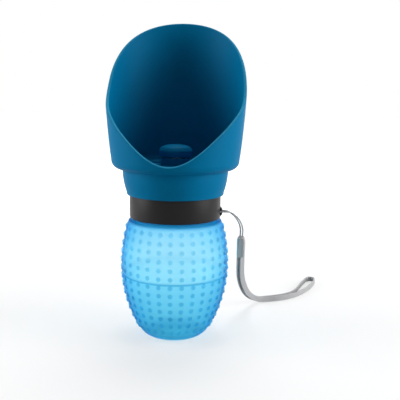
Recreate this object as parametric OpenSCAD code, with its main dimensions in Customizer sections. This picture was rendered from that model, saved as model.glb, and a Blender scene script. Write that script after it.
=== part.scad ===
// Travel water bottle for dogs, in millimetres.
// The nubbed silicone bottle is squeezed, water rises through the valve in the cup's floor,
// and the dog drinks from the slanted scoop. The cup screws off to fill the bottle.
// Origin at the centre of the foot, +Z up, and the scoop opens towards -Y.

/* [Bottle] */
// Radius of the silicone barrel at its widest, without the nubs
belly_r = 41.7; // [38:0.1:52]
// Height of the widest ring above the foot
belly_h = 58; // [46:0.5:66]
// Height of the barrel, from its foot to the neck groove
barrel_h = 93; // [84:0.5:114]
// Radius of the barrel just above its rounded foot
foot_edge_r = 26; // [20:0.5:32]
// Radius of the foot's rounded edge
foot_round = 3; // [1:0.5:4]
// Depth of the groove moulded under the foot
foot_groove = 0.8; // [0.4:0.1:1.2]
// Thickness of the silicone wall
silicone_t = 2.2; // [1.6:0.1:3]

/* [Nubs] */
// Nubs in each ring
nub_cols = 30; // [12:1:36]
// Rings of nubs, counted down from the neck
nub_rows = 13; // [3:1:13]
// Distance from one ring of nubs to the next
nub_pitch = 6.5; // [5:0.1:6.6]
// Radius of a nub where it meets the wall
nub_r = 2.1; // [1.4:0.1:2.3]
// Height of a nub above the wall
nub_h = 1.3; // [0.8:0.1:1.8]
// Depth of the top ring of nubs below the barrel's shoulder
nub_drop = 5; // [4:0.5:9]
// Turn of the columns of nubs round the bottle, in degrees
nub_turn = 1.5; // [0:0.5:3]

/* [Neck and collar] */
// Outer radius of the collar
collar_r = 35.5; // [31:0.1:43]
// Height of the collar's band
collar_h = 19; // [15:0.5:24]
// Thickness of the collar's wall
collar_t = 3.3; // [3:0.1:4]
// Height of the silicone neck that shows under the collar
neck_gap = 2.2; // [1:0.1:4]
// Thickness of the silicone neck
neck_t = 2.3; // [1.8:0.1:3]
// Thickness of the rigid sleeve inside the neck
sleeve_t = 1.8; // [1.4:0.1:2.4]
// Height of the spigot that the cup screws onto
spigot_h = 16.6; // [12:0.2:22]
// How far the spigot's wall stands back from the band
spigot_step = 1.1; // [0.8:0.1:1.6]

/* [Strap bar] */
// Height of the bar above the collar's lower edge
bar_h = 4.8; // [4.6:0.1:8]
// Width of the bar that the cord loops round
bar_w = 3; // [2.4:0.1:4]
// How far the bar stands proud of the band
bar_proud = 1.5; // [0.5:0.1:2.5]
// Width of the pocket behind the bar
pocket_w = 7; // [6.6:0.1:9]
// Height of the pocket behind the bar
pocket_h = 4.6; // [3:0.1:6]
// Depth of the pocket behind the bar
pocket_t = 1.9; // [1.7:0.1:2.2]

/* [Cup] */
// Outer radius of the scoop at its widest
scoop_r = 54.2; // [50:0.1:66]
// Outer radius of the scoop just above its rounded bottom corner
scoop_foot_r = 49.5; // [48:0.1:58]
// Height of the scoop's widest ring above its floor
scoop_wide_h = 79; // [50:1:100]
// Radius of the scoop's rounded bottom corner
corner_round = 6.8; // [5:0.1:9]
// Thickness of the scoop's wall
cup_t = 2.4; // [1.8:0.1:3]
// Thickness of the cup's floor
floor_t = 2.8; // [2.2:0.1:3.6]
// Height of the front lip above the floor
lip_h = 3; // [2.5:0.5:12]
// Slope of the opening's edge at the front lip, in degrees from level
lip_slope = 70; // [60:1:72]
// Slope of the edge just behind the lip
front_slope = 47; // [35:1:60]
// Slope of the edge along the sides
side_slope = 29.5; // [15:0.5:45]
// Slope of the edge behind the middle
rear_slope = 56; // [45:1:60]
// Slope of the edge at the back
back_slope = 33.5; // [20:0.5:45]
// Height of the socket's skirt, from the cup's floor down over the collar
skirt_h = 20; // [16:0.5:24]
// Thickness of the skirt's lower edge
skirt_t = 1.9; // [1.5:0.1:3]
// Thickness of the skirt's wall at its top
skirt_top_t = 5; // [4:0.1:7]

/* [Valve] */
// Radius of the knob
knob_r = 13.2; // [11.8:0.1:17]
// Height of the knob
knob_h = 9; // [8:0.1:12]
// How far the knob pulls up
travel = 5; // [2:0.5:6]
// Radius of the raised seat that the knob shuts on
seat_r = 11.2; // [10.8:0.1:11.5]
// Height of the raised seat above the floor
seat_h = 5.6; // [4:0.1:8]
// Number of water ports through the seat
port_n = 6; // [3:1:8]
// Radius of a water port
port_r = 1.4; // [1:0.1:1.6]
// Radius of the stem
stem_r = 4; // [3.5:0.1:4.4]
// Wall of the guide tube around the stem
guide_t = 2.5; // [2:0.1:2.8]
// Length of the guide tube below the cup's floor
guide_drop = 7.2; // [6:0.2:10]
// Thickness of the washer under the knob
washer_t = 1.8; // [1.2:0.1:2.4]
// Thickness of the retaining ring on the stem
clip_t = 0.9; // [0.7:0.1:1.2]

/* [Strap] */
// Diameter of the thin cord
cord_d = 1.2; // [0.8:0.1:1.2]
// Width of the flat webbing
webbing_w = 5; // [4:0.1:6]
// Thickness of the flat webbing
webbing_t = 1.2; // [0.8:0.1:1.4]
// Length of the sleeve that joins the cord to the webbing
sleeve_l = 20; // [19.5:0.5:20.5]
// Width of the sleeve
sleeve_w = 6.5; // [6:0.1:8]
// Thickness of the sleeve from front to back
sleeve_d = 5.6; // [5.4:0.1:7]

/* [Hidden] */

fit = 0.2;            // gap where one still piece sits in another
run_fit = 0.08;       // radial gap between the stem and its guide
screw_fit = 0.45;     // radial gap between the collar's band and the cup's skirt
turn_fn = 128;        // facets of a large turned shape
small_fn = 48;        // facets of a small turned shape

// Heights of the stacked pieces, from the foot up
collar_z = barrel_h + neck_gap;
spigot_z = collar_z + collar_h;
mouth_z = spigot_z + spigot_h;
seal_t = 2.4;
deck_z = mouth_z + seal_t;
floor_z = deck_z + floor_t;
lip_z = floor_z + lip_h;
seat_z = floor_z + seat_h;
guide_z = deck_z - guide_drop;
skirt_z = deck_z - skirt_h;

// Radii of the neck's nested pieces, from the collar inwards
spigot_r = collar_r - spigot_step;
neck_bore_r = collar_r - collar_t;
neck_r = neck_bore_r - fit;
sleeve_r = neck_r - neck_t - fit;
mouth_r = sleeve_r - sleeve_t;
ledge_t = 1.6;                     // ledge inside the collar that carries the sleeve
ledge_z = spigot_z - 3.4;
ledge_r = sleeve_r + 0.6;
bead_h = 3;                        // bead at the top of the silicone neck
bead_out = 1.3;
spigot_bore_r = spigot_r - 2.5;
sleeve_top_h = 1.6;
sleeve_drop = 16;                  // length of the sleeve below the ledge

// Points along an arc, from angle a to angle b, in n steps
function arc(x, y, r, a, b, n) =
  [for (i = [0:n]) let (t = a + (b - a) * i / n) [x + r * cos(t), y + r * sin(t)]];

// A tube with a ring of section points at each place. It ends in flat caps, or meets itself.
module swept(rings, closed = false) {
  n = len(rings[0]);
  count = len(rings);
  spans = closed ? count : count - 1;
  polyhedron(
    points = [for (ring = rings) each ring],
    faces = concat(
      [for (k = [0:spans - 1], i = [0:n - 1])
        let (m = (k + 1) % count) [k * n + i, m * n + i, m * n + (i + 1) % n]],
      [for (k = [0:spans - 1], i = [0:n - 1])
        let (m = (k + 1) % count) [k * n + i, m * n + (i + 1) % n, k * n + (i + 1) % n]],
      closed ? [] : [[for (i = [0:n - 1]) i], [for (i = [n - 1:-1:0]) spans * n + i]]));
}

// How far a side curves in at distance d from its widest ring, if it curves in by rise over run
function curve_in(run, rise, d) =
  rise == 0 ? 0
            : let (rho = (run * run + rise * rise) / (2 * rise))
              rho - sign(rho) * sqrt(rho * rho - d * d);

// Outer radius of the barrel at height z. Its two arcs meet at the widest ring.
shoulder_r = collar_r + 0.8;
function barrel_r(z) =
  belly_r - (z > belly_h ? curve_in(barrel_h - belly_h, belly_r - shoulder_r, z - belly_h)
                         : curve_in(belly_h - foot_round, belly_r - foot_edge_r, belly_h - z));

// The barrel's wall is a stack of bands. A ring of nubs can stand on each but the last at each end.
function band_edge(i) = barrel_h - nub_drop + nub_pitch * (0.5 - i);
foot_top = foot_round + 0.6;
band_n = floor((band_edge(0) - foot_round - 1) / nub_pitch);
ring_n = min(nub_rows, band_n);
edge_list = concat([foot_top], [for (i = [band_n:-1:0]) band_edge(i)], [barrel_h]);
foot_rise_a = 62;      // the foot's rounded edge turns up through this angle
foot_cx = foot_edge_r - foot_round * sin(foot_rise_a);

// Each band is a slice of a ball centred on the axis, so that a round nub meets it in a circle
function ball_z(low, high) =
  (low + high) / 2 + (pow(barrel_r(high), 2) - pow(barrel_r(low), 2)) / (2 * (high - low));
function ball_r(low, high) = norm([barrel_r(low), low - ball_z(low, high)]);

module barrel_outline() {
  lap = 1;             // neighbours overlap, and their balls cross at the edge between them
  last = len(edge_list) - 2;
  polygon(concat([[0, 0]], arc(foot_cx, foot_round, foot_round, -90, foot_rise_a - 90, 5),
                 [[foot_edge_r, foot_top], [0, foot_top]]));
  for (i = [0:last])
    let (low = edge_list[i], high = edge_list[i + 1])
      intersection() {
        translate([0, ball_z(low, high)]) circle(r = ball_r(low, high), $fn = turn_fn);
        translate([0, low - lap])
          square([2 * belly_r, high - low + (i == last ? lap : 2 * lap)]);
      }
}

// A nub is a ball sunk in its band, so that it stands nub_h proud with a foot of radius nub_r
nub_ball_r = (nub_r * nub_r + nub_h * nub_h) / (2 * nub_h);
module nub_ring(low, high) {
  centre = ball_z(low, high);
  reach = ball_r(low, high);
  lean = asin(((low + high) / 2 - centre) / reach);
  for (i = [0:nub_cols - 1])
    translate([0, 0, centre])
      rotate([-lean, 0, nub_turn + i * 360 / nub_cols])
        translate([0, -(reach + nub_h - nub_ball_r), 0])
          sphere(r = nub_ball_r, $fn = 16);
}

// The hollow follows the wall, and stops under the shoulder
module hollow_outline() {
  low = silicone_t + foot_round;
  high = barrel_h - silicone_t;
  wall = concat([low], [for (z = edge_list) if (z > low + 1 && z < high - 1) z], [high]);
  polygon(concat([[0, silicone_t], [foot_cx, silicone_t]],
                 [for (z = wall) [barrel_r(z) - silicone_t, z]], [[0, high]]));
}

module squeeze_bottle() {
  neck_top = ledge_z - ledge_t - fit;
  color([0.42, 0.80, 0.96])
    difference() {
      union() {
        rotate_extrude($fn = turn_fn) barrel_outline();
        for (i = [1:ring_n]) nub_ring(band_edge(i), band_edge(i - 1));
        translate([0, 0, barrel_h - 1])
          cylinder(r = neck_r, h = neck_top - barrel_h + 1, $fn = turn_fn);
        translate([0, 0, neck_top - bead_h])
          cylinder(r = neck_r + bead_out, h = bead_h, $fn = turn_fn);
      }
      rotate_extrude($fn = turn_fn) hollow_outline();
      translate([0, 0, barrel_h / 2])
        cylinder(r = neck_r - neck_t, h = barrel_h, $fn = turn_fn);
      // Moulded groove under the foot
      translate([0, 0, -1])
        difference() {
          cylinder(r = foot_cx - 5, h = 1 + foot_groove, $fn = turn_fn);
          translate([0, 0, -1]) cylinder(r = foot_cx - 8, h = 5, $fn = turn_fn);
        }
    }
}

module neck_ring() {
  color([0.85, 0.88, 0.90])
    difference() {
      union() {
        translate([0, 0, ledge_z - sleeve_drop])
          cylinder(r = sleeve_r, h = sleeve_drop, $fn = turn_fn);
        translate([0, 0, ledge_z])
          cylinder(r = spigot_bore_r - fit, h = sleeve_top_h, $fn = turn_fn);
      }
      translate([0, 0, ledge_z - sleeve_drop - 1])
        cylinder(r = mouth_r, h = sleeve_drop + 10, $fn = turn_fn);
    }
}

module collar() {
  groove_z = ledge_z - ledge_t - bead_h - 2 * fit;
  bar_z = collar_z + bar_h;
  face = collar_r + bar_proud;
  color([0.09, 0.09, 0.10]) {
    difference() {
      rotate_extrude($fn = turn_fn)
        polygon([
          [neck_bore_r, collar_z], [collar_r - 0.5, collar_z], [collar_r, collar_z + 0.5],
          [collar_r, spigot_z - 0.5], [collar_r - 0.5, spigot_z], [spigot_r, spigot_z],
          [spigot_r, mouth_z - 0.6], [spigot_r - 0.6, mouth_z],
          [spigot_bore_r, mouth_z], [spigot_bore_r, ledge_z], [ledge_r, ledge_z],
          [ledge_r, ledge_z - ledge_t], [neck_r + bead_out + fit, ledge_z - ledge_t],
          [neck_r + bead_out + fit, groove_z], [neck_bore_r, groove_z]
        ]);
      translate([collar_r - pocket_t, -pocket_w / 2, bar_z - pocket_h / 2])
        cube([10, pocket_w, pocket_h]);
    }
    // Upright bar, bridging the pocket like a staple
    translate([0, bar_w / 2, bar_z])
      rotate([90, 0, 0])
        linear_extrude(bar_w)
          polygon([
            [collar_r - 0.8, -pocket_h / 2 - 2], [face - 0.4, -pocket_h / 2 - 0.4],
            [face, -pocket_h / 2 + 0.2], [face, pocket_h / 2 - 0.2],
            [face - 0.4, pocket_h / 2 + 0.4], [collar_r - 0.8, pocket_h / 2 + 2],
            [collar_r - 0.8, pocket_h / 2], [face - 1.7, pocket_h / 2],
            [face - 1.7, -pocket_h / 2], [collar_r - 0.8, -pocket_h / 2]
          ]);
  }
}

module mouth_seal() {
  color([0.93, 0.94, 0.95])
    translate([0, 0, mouth_z])
      difference() {
        cylinder(r = spigot_r, h = seal_t, $fn = turn_fn);
        translate([0, 0, -1]) cylinder(r = spigot_bore_r + fit, h = seal_t + 2, $fn = turn_fn);
      }
}

// Outer radius of the scoop at height z
corner_z = deck_z + corner_round;
wide_z = floor_z + scoop_wide_h;
function scoop_out(z) =
  scoop_r - curve_in(wide_z - corner_z, scoop_r - scoop_foot_r, max(0, wide_z - z));

// The opening's edge, seen from the side. Each row holds a share of the way from the lip to the
// back, and the edge's slope there. In between, the slope turns evenly.
edge_rows = [[0, lip_slope], [0.13, front_slope], [0.33, side_slope], [0.56, rear_slope],
             [1, back_slope]];
lip_y = -scoop_out(corner_z);
depth = scoop_r - lip_y;

// Rise along run d of a span that is wide w, where the slope turns from s to t
function span_rise(w, d, s, t) =
  abs(t - s) < 0.01 ? d * tan(s)
                    : w * 180 / PI / (t - s) * ln(cos(s) / cos(s + (t - s) * d / w));
function sum(v, i = 0) = i == len(v) ? 0 : v[i] + sum(v, i + 1);

// Height of the edge at y
function edge_z(y) =
  lip_z + min(0, y - lip_y) * tan(lip_slope) + max(0, y - scoop_r) * tan(back_slope)
  + sum([for (i = [0:len(edge_rows) - 2])
      let (from = edge_rows[i], to = edge_rows[i + 1], w = (to[0] - from[0]) * depth)
      span_rise(w, max(0, min(w, y - lip_y - from[0] * depth)), from[1], to[1])]);
back_z = edge_z(scoop_r);

// Height of the rim at angle a from the lip. The wall leans, so each step starts from the last.
function rim_z(a, z, steps) =
  steps == 0 ? z : rim_z(a, edge_z(-scoop_out(z) * cos(a)), steps - 1);

// Takes the wall away above the rim, which is level from its outer edge to its inner edge
module opening_cut() {
  turns = 90;
  in_r = scoop_foot_r - corner_round - 3;
  out_r = scoop_r + 5;
  top = back_z + 10;
  swept([for (i = [0:turns - 1])
    let (a = i * 360 / turns, x = sin(a), y = -cos(a), rim = rim_z(a, lip_z, 12))
    [[in_r * x, in_r * y, rim], [in_r * x, in_r * y, top],
     [out_r * x, out_r * y, top], [out_r * x, out_r * y, rim]]], true);
}

// Outline of the scoop's wall; the same arcs, moved in by inset, make its hollow
function scoop_outline(inset, top) =
  let (r = corner_round - inset, cx = scoop_foot_r - corner_round,
       cz = inset > 0 ? floor_z + r : corner_z, steps = 8)
  concat(arc(cx, cz, r, -90, 0, steps),
         [for (i = [1:steps]) let (z = cz + (wide_z - cz) * i / steps) [scoop_out(z) - inset, z]],
         [[scoop_r - inset, top]]);

skirt_r = collar_r + screw_fit;
skirt_out_r = skirt_r + skirt_t;
skirt_top_r = skirt_r + skirt_top_t;

module scoop_cup() {
  top = back_z + 5;
  skirt_side = [for (i = [0:5])
    let (z = skirt_z + 2 + (skirt_h - 2) * i / 5)
    [skirt_top_r - curve_in(skirt_h - 2, skirt_top_r - skirt_out_r, deck_z - z), z]];
  port_at = (stem_r + guide_t + seat_r) / 2;
  color([0.02, 0.36, 0.55])
    difference() {
      union() {
        difference() {
          rotate_extrude($fn = turn_fn)
            polygon(concat([[0, skirt_z]],
                           arc(skirt_out_r - 1.2, skirt_z + 1.2, 1.2, -90, -20, 3),
                           skirt_side, scoop_outline(0, top), [[0, top]]));
          rotate_extrude($fn = turn_fn)
            polygon(concat([[0, floor_z]], scoop_outline(cup_t, top + 1), [[0, top + 1]]));
          translate([0, 0, skirt_z - 1])
            cylinder(r = skirt_r, h = skirt_h + 1, $fn = turn_fn);
          opening_cut();
        }
        // Raised seat of the valve, and the stem's guide tube under the floor
        translate([0, 0, deck_z]) cylinder(r = seat_r, h = floor_t + seat_h, $fn = small_fn);
        translate([0, 0, guide_z])
          cylinder(r = stem_r + guide_t, h = guide_drop + 1, $fn = small_fn);
        // Short rib on the floor beside the seat
        translate([-seat_r - 9, 8.6, floor_z - 0.5]) cube([13, 1.2, 1.9]);
      }
      translate([0, 0, guide_z - 1])
        cylinder(r = stem_r + run_fit, h = guide_drop + floor_t + seat_h + 2, $fn = small_fn);
      for (i = [0:port_n - 1])
        rotate([0, 0, i * 360 / port_n])
          translate([0, port_at, deck_z - 1])
            cylinder(r = port_r, h = floor_t + seat_h + 2, $fn = 24);
    }
}

// The washer stands half in the knob's recess and half below it
washer_out_r = seat_r - 0.4;
knob_z = seat_z + washer_t / 2;
stem_top_z = knob_z + knob_h - 3;

module valve_knob() {
  shoulder = 4;
  color([0.03, 0.38, 0.58])
    difference() {
      rotate_extrude($fn = 64)
        polygon(concat(
          [[0, knob_z], [knob_r - 0.6, knob_z], [knob_r, knob_z + 0.6]],
          arc(knob_r - shoulder, knob_z + knob_h - shoulder - 0.4, shoulder, 0, 80, 6),
          [[0, knob_z + knob_h]]));
      translate([0, 0, knob_z - 1])
        cylinder(r = washer_out_r + fit, h = 1 + washer_t / 2, $fn = small_fn);
      cylinder(r = stem_r + fit / 4, h = stem_top_z, $fn = small_fn);
    }
}

module knob_seal() {
  color([0.90, 0.92, 0.93])
    translate([0, 0, seat_z])
      difference() {
        cylinder(r = washer_out_r, h = washer_t, $fn = small_fn);
        translate([0, 0, -1]) cylinder(r = stem_r + fit, h = washer_t + 2, $fn = small_fn);
      }
}

// The O-ring sits half-way along the guide, and the clip stops the stem at the guide's end
ring_r = 0.7;
ring_z = guide_z + guide_drop / 2;
ring_groove_r = stem_r + run_fit - 0.02 - 2 * ring_r;
clip_z = guide_z - travel - clip_t - 0.1;
clip_groove_r = stem_r - 1;
stem_end_z = clip_z - 1.4;

module valve_stem() {
  color([0.88, 0.90, 0.91])
    difference() {
      union() {
        translate([0, 0, stem_end_z + 0.6])
          cylinder(r = stem_r, h = stem_top_z - stem_end_z - 0.6, $fn = small_fn);
        translate([0, 0, stem_end_z])
          cylinder(r1 = stem_r - 0.6, r2 = stem_r, h = 0.6, $fn = small_fn);
      }
      translate([0, 0, ring_z - ring_r - 0.15])
        difference() {
          cylinder(r = stem_r + 1, h = 2 * ring_r + 0.3, $fn = small_fn);
          translate([0, 0, -1]) cylinder(r = ring_groove_r - 0.02, h = 4, $fn = small_fn);
        }
      translate([0, 0, clip_z - 0.05])
        difference() {
          cylinder(r = stem_r + 1, h = clip_t + 0.1, $fn = small_fn);
          translate([0, 0, -1]) cylinder(r = clip_groove_r, h = 4, $fn = small_fn);
        }
    }
}

module stem_oring() {
  color([0.12, 0.12, 0.13])
    translate([0, 0, ring_z])
      rotate_extrude($fn = small_fn)
        translate([ring_groove_r + ring_r, 0]) circle(r = ring_r, $fn = 24);
}

// Open retaining ring, with its mouth towards the back
module valve_clip() {
  color([0.75, 0.76, 0.78])
    translate([0, 0, clip_z])
      difference() {
        cylinder(r = stem_r + 2, h = clip_t, $fn = small_fn);
        translate([0, 0, -1]) cylinder(r = clip_groove_r + 0.05, h = 3, $fn = small_fn);
        translate([-clip_groove_r * 0.8, 0, -1]) cube([clip_groove_r * 1.6, 10, 3]);
      }
}

// Route of the thin cord: up from the sleeve, round the collar's bar and back
cord_route = [
  [53.4, 12.4, 76.9], [53.5, 11.2, 79.6], [53.5, 8.9, 84], [52.5, 6.8, 88.4],
  [50.5, 4.4, 92.7], [47.5, 1.9, 96.4], [43.7, -0.4, 99.2], [40.1, -2.1, 100],
  [36.6, -2.5, 100], [35, -2.2, 100], [34.4, -1.2, 100], [34.4, 0, 100], [34.4, 1.2, 100],
  [35, 2.2, 100], [36.6, 2.5, 100], [39, 2.8, 100.2], [42.1, 3.5, 99.2], [45.7, 4.9, 96.4],
  [48.7, 6.4, 92.5], [50.7, 8, 88.4], [51.6, 9.5, 84], [51.6, 11.2, 79.6],
  [51.6, 12.4, 76.9]
];

// Middle of the webbing's two runs, from the sleeve to the far bend:
// x, y, z, and how far each run lies from the middle
webbing_route = [
  [52.5, 21.6, 59.1, 1.3], [52.5, 24, 54, 1.3], [52.5, 28.5, 46.5, 1.3],
  [53, 36, 37, 1.3], [55, 46, 26.5, 1.3], [58.5, 58, 16, 1.3], [64, 69, 8, 1.3],
  [71, 76.5, 3.6, 1.4], [79, 81, 2.7, 1.6], [87.5, 84.5, 2.7, 1.8], [96, 89.5, 2.7, 1.9],
  [104, 97, 2.7, 2.3], [110.5, 107, 2.7, 3.4], [116, 119, 2.7, 4.6],
  [121, 131.5, 2.7, 5.2], [125, 143, 2.7, 4.6]
];

function unit(v) = v / norm(v);
function along(p, i) = unit(p[min(i + 1, len(p) - 1)] - p[max(i - 1, 0)]);

module strap_cord() {
  lean = [0, -0.454, 0.891];
  ahead = [for (i = [0:len(cord_route) - 1])
    i == 0 ? lean : i == len(cord_route) - 1 ? -lean : along(cord_route, i)];
  rings = [for (i = [0:len(cord_route) - 1])
    let (u = unit(cross([1, 0, 1], ahead[i])), v = cross(ahead[i], u))
    [for (k = [0:7]) cord_route[i] + cord_d / 2 * (cos(45 * k) * u + sin(45 * k) * v)]];
  color([0.72, 0.73, 0.75]) swept(rings);
}

sleeve_at = [52.5, 17, 68];
sleeve_lean = 27;       // degrees that the sleeve's top leans towards the front
module strap_clip() {
  r = 2.2;
  color([0.60, 0.60, 0.61])
    translate(sleeve_at)
      rotate([sleeve_lean, 0, 0])
        difference() {
          translate([0, 0, -sleeve_l / 2])
            linear_extrude(sleeve_l)
              union() {
                square([sleeve_w - 2 * r, sleeve_d], center = true);
                square([sleeve_w, sleeve_d - 2 * r], center = true);
                for (x = [-1, 1], y = [-1, 1])
                  translate([x * (sleeve_w / 2 - r), y * (sleeve_d / 2 - r)])
                    circle(r = r, $fn = 32);
              }
          // Sloped shoulders at the top, and a finger groove down each face
          for (x = [-1, 1])
            translate([x * sleeve_w / 2, 0, sleeve_l / 2])
              rotate([0, x * 35, 0])
                cube([1.6, 2 * sleeve_d, 6], center = true);
          for (y = [-1, 1])
            translate([0, y * (sleeve_d / 2 + 1.3), -sleeve_l])
              cylinder(r = 1.7, h = 2 * sleeve_l, $fn = 32);
        }
}

// Points of the whole loop and the direction of the webbing's width at each
module wrist_strap() {
  n = len(webbing_route) - 1;
  mid = [for (p = webbing_route) [p[0], p[1], p[2]]];
  lean = [0, 0.454, -0.891];
  ahead = [for (i = [0:n]) i == 0 ? lean : along(mid, i)];
  side = [for (i = [0:n]) unit(cross(ahead[i], [0, 0, 1]))];
  wide = [for (i = [0:n]) cross(side[i], ahead[i])];
  gap = webbing_route[n][3];
  bend = [for (a = [30:30:150])
    mid[n] + gap * (cos(a) * side[n] + 1.5 * sin(a) * ahead[n])];
  loop = concat([for (i = [0:n]) mid[i] + webbing_route[i][3] * side[i]], bend,
                [for (i = [n:-1:0]) mid[i] - webbing_route[i][3] * side[i]]);
  width = concat(wide, [for (p = bend) wide[n]], [for (i = [n:-1:0]) wide[i]]);
  last = len(loop) - 1;
  go = [for (i = [0:last]) i == 0 ? lean : i == last ? -lean : along(loop, i)];
  a = webbing_w / 2;
  b = webbing_t / 2;
  c = webbing_t / 4;
  section = [[a, -c], [a, c], [a - c, b], [c - a, b], [-a, c], [-a, -c], [c - a, -b], [a - c, -b]];
  rings = [for (i = [0:last])
    let (w = width[i], t = unit(cross(w, go[i])))
    [for (s = section) loop[i] + s[0] * w + s[1] * t]];
  color([0.70, 0.71, 0.73]) swept(rings);
}

squeeze_bottle();
neck_ring();
collar();
mouth_seal();
scoop_cup();
valve_knob();
knob_seal();
valve_stem();
stem_oring();
valve_clip();
strap_cord();
strap_clip();
wrist_strap();
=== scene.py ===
# %% [markdown]
# # A squeeze water bottle for walking dogs
#
# A hand squeezes the soft nubbed bottle. Water rises through a valve in the floor of the blue
# scoop, and the dog drinks from the scoop. What isn't drunk runs back when the hand lets go.
# The engineering model comes first, as a fixed frame. Every surface seen here is then made
# around it at its real size, in metres, with +Z up and the scoop's low lip towards -Y.

# %% Load the frame
import math

import bmesh
import bpy
import numpy as np
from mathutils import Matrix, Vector


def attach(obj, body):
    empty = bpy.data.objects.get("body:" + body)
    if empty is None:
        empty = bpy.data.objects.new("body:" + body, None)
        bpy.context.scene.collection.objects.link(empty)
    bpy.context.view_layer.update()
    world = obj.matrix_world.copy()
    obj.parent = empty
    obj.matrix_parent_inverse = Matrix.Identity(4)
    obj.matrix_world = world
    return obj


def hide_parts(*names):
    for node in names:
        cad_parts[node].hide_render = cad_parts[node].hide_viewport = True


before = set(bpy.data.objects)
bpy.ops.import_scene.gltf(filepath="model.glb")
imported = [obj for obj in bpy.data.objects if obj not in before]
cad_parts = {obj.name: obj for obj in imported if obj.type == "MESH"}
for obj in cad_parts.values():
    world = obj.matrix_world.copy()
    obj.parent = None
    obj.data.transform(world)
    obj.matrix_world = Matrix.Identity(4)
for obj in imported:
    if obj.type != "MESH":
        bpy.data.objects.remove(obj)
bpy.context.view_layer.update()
MM = 0.001

# %% [markdown]
# ## The camera
#
# A short telephoto lens, level with the middle of the scoop and looking a little down. The width
# of the collar's ellipse gives the height of the eye, and the way the bottle narrows downwards
# gives the distance. The camera stands a few degrees to the right of the scoop's opening, so
# its place is written as a point and its aim as a direction.

# %% Camera
def scene_object(name, data):
    """A new object that holds this data, linked to the scene."""
    made = bpy.data.objects.new(name, data)
    bpy.context.scene.collection.objects.link(made)
    return made


camera_eye = (0.0495, -0.4618, 0.1868)
camera_aim = Vector((-0.0641, 0.9840, -0.1668))
camera_roll = math.radians(0.9)
camera_data = bpy.data.cameras.new("camera")
camera_data.sensor_width = 36
camera_data.lens = 54
camera = scene_object("camera", camera_data)
bpy.context.scene.camera = camera
camera.location = camera_eye
camera.rotation_euler = camera_aim.to_track_quat("-Z", "Y").to_euler()
camera.rotation_euler.rotate_axis("Z", camera_roll)
print("lens", camera_data.lens, "mm, eye", round(camera.location.z / MM), "mm above the floor")

# %% [markdown]
# ## Small tools for turned and swept shapes
#
# Nearly every piece of this bottle is turned round one upright axis or drawn along a path, so
# two helpers carry the whole model. One turns an outline whose corners may each have a radius,
# as a draughtsman dimensions it. The other joins rows of points into a mesh of quads. Both
# check which way the faces point, because a shape whose faces look inwards renders black or
# loses its wall when it is exported.

# %% Helpers for meshes
crisp_angle = math.radians(32)    # faces that meet at more than this show a crisp edge


def rounded_outline(corners, steps=4):
    """Points of a closed outline, whose corners are (x, z) or (x, z, radius)."""
    points = []
    count = len(corners)
    for i, corner in enumerate(corners):
        here = np.array(corner[:2], float)
        if len(corner) == 2:
            points.append(here)
            continue
        before = np.array(corners[i - 1][:2], float) - here
        after = np.array(corners[(i + 1) % count][:2], float) - here
        before /= np.linalg.norm(before)
        after /= np.linalg.norm(after)
        half = math.acos(np.clip(before @ after, -1, 1)) / 2
        reach = corner[2] / math.tan(half)
        middle = (before + after) / np.linalg.norm(before + after)
        centre = here + middle * corner[2] / math.sin(half)
        start, end = here + before * reach - centre, here + after * reach - centre
        turn = math.pi - 2 * half
        for k in range(steps + 1):
            a, b = math.sin(turn * (1 - k / steps)), math.sin(turn * k / steps)
            points.append(centre + (start * a + end * b) / math.sin(turn))
    return np.array(points)


def shade_smooth(mesh):
    for polygon in mesh.polygons:
        polygon.use_smooth = True


def mesh_piece(name, points, faces):
    """A smooth object made of points in metres, with its faces turned outwards."""
    mesh = bpy.data.meshes.new(name)
    mesh.from_pydata([tuple(p) for p in points], [], faces)
    shape = bmesh.new()
    shape.from_mesh(mesh)
    bmesh.ops.remove_doubles(shape, verts=shape.verts, dist=1e-7)
    bmesh.ops.dissolve_degenerate(shape, edges=shape.edges, dist=1e-8)
    bmesh.ops.delete(shape, geom=[e for e in shape.edges if not e.link_faces], context="EDGES")
    bmesh.ops.recalc_face_normals(shape, faces=shape.faces)
    if shape.calc_volume(signed=True) < 0:
        bmesh.ops.reverse_faces(shape, faces=shape.faces)
    shape.to_mesh(mesh)
    shape.free()
    shade_smooth(mesh)
    mesh.set_sharp_from_angle(angle=crisp_angle)
    return scene_object(name, mesh)


def rows_to_mesh(name, rows, ring=True, caps=False):
    """Quads between rows of points, each a closed loop. ring joins the last row to the first."""
    rows = np.asarray(rows)
    count, across = rows.shape[:2]
    faces = []
    for i in range(count if ring else count - 1):
        j = (i + 1) % count
        for k in range(across):
            n = (k + 1) % across
            faces.append((i * across + k, i * across + n, j * across + n, j * across + k))
    if caps:
        faces.append(tuple(range(across))[::-1])
        faces.append(tuple((count - 1) * across + k for k in range(across)))
    return mesh_piece(name, rows.reshape(-1, 3), faces)


def turned(name, outline, columns=192):
    """Turns an outline of (radius, height) in mm round the bottle's axis."""
    angles = np.linspace(0, 2 * math.pi, columns, endpoint=False)
    radius, height = np.asarray(outline).T * MM
    rows = np.stack([np.outer(np.sin(angles), radius), -np.outer(np.cos(angles), radius),
                     np.tile(height, (columns, 1))], axis=2)
    return rows_to_mesh(name, rows)


def applied(piece):
    """Replaces the piece's mesh by what its modifiers make of it."""
    graph = bpy.context.evaluated_depsgraph_get()
    result = bpy.data.meshes.new_from_object(piece.evaluated_get(graph), depsgraph=graph)
    piece.modifiers.clear()
    piece.data = result


def report(piece):
    """Prints a piece's faces and its box."""
    low, high = np.array(piece.bound_box).min(0) / MM, np.array(piece.bound_box).max(0) / MM
    print(f"{piece.name}: {len(piece.data.polygons)} faces, mm {low.round(1)} to {high.round(1)}")


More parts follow.
